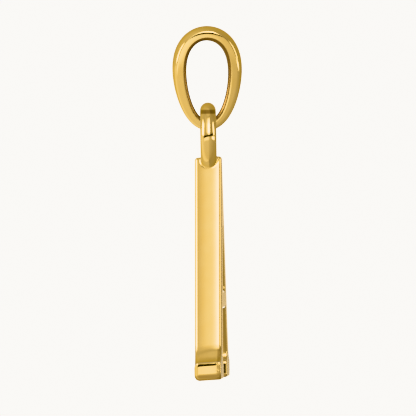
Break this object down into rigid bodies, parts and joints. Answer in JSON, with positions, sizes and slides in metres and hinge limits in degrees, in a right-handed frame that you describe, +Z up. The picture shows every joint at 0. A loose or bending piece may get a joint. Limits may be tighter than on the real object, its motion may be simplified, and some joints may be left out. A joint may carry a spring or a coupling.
{
  "type": "initial pendant",
  "caption": "Cast serif capital with a soldered hanging ring, hung on a loose tapered bail that slides onto a neck chain.",
  "frame": {"origin": "inside top of the bail, where the chain bears", "axes": "+Z up, the letter's width along X, its front facing -Y, and the chain running along X through the bail"},
  "size_m": [0.0164, 0.0056, 0.0283],
  "materials": {
    "letter_gold": "polished yellow gold",
    "bail_gold": "polished yellow gold"
  },
  "bodies": {
    "bail": {"bail": "bail_gold"},
    "letter": {"initial_letter": "letter_gold"}
  },
  "joints": [
    {"name": "letter_swing", "type": "hinge", "parent": "bail", "child": "letter", "pos_m": [0, 0, -0.00677], "axis": [0, 1, 0], "range_deg": [-140, 140]}
  ]
}
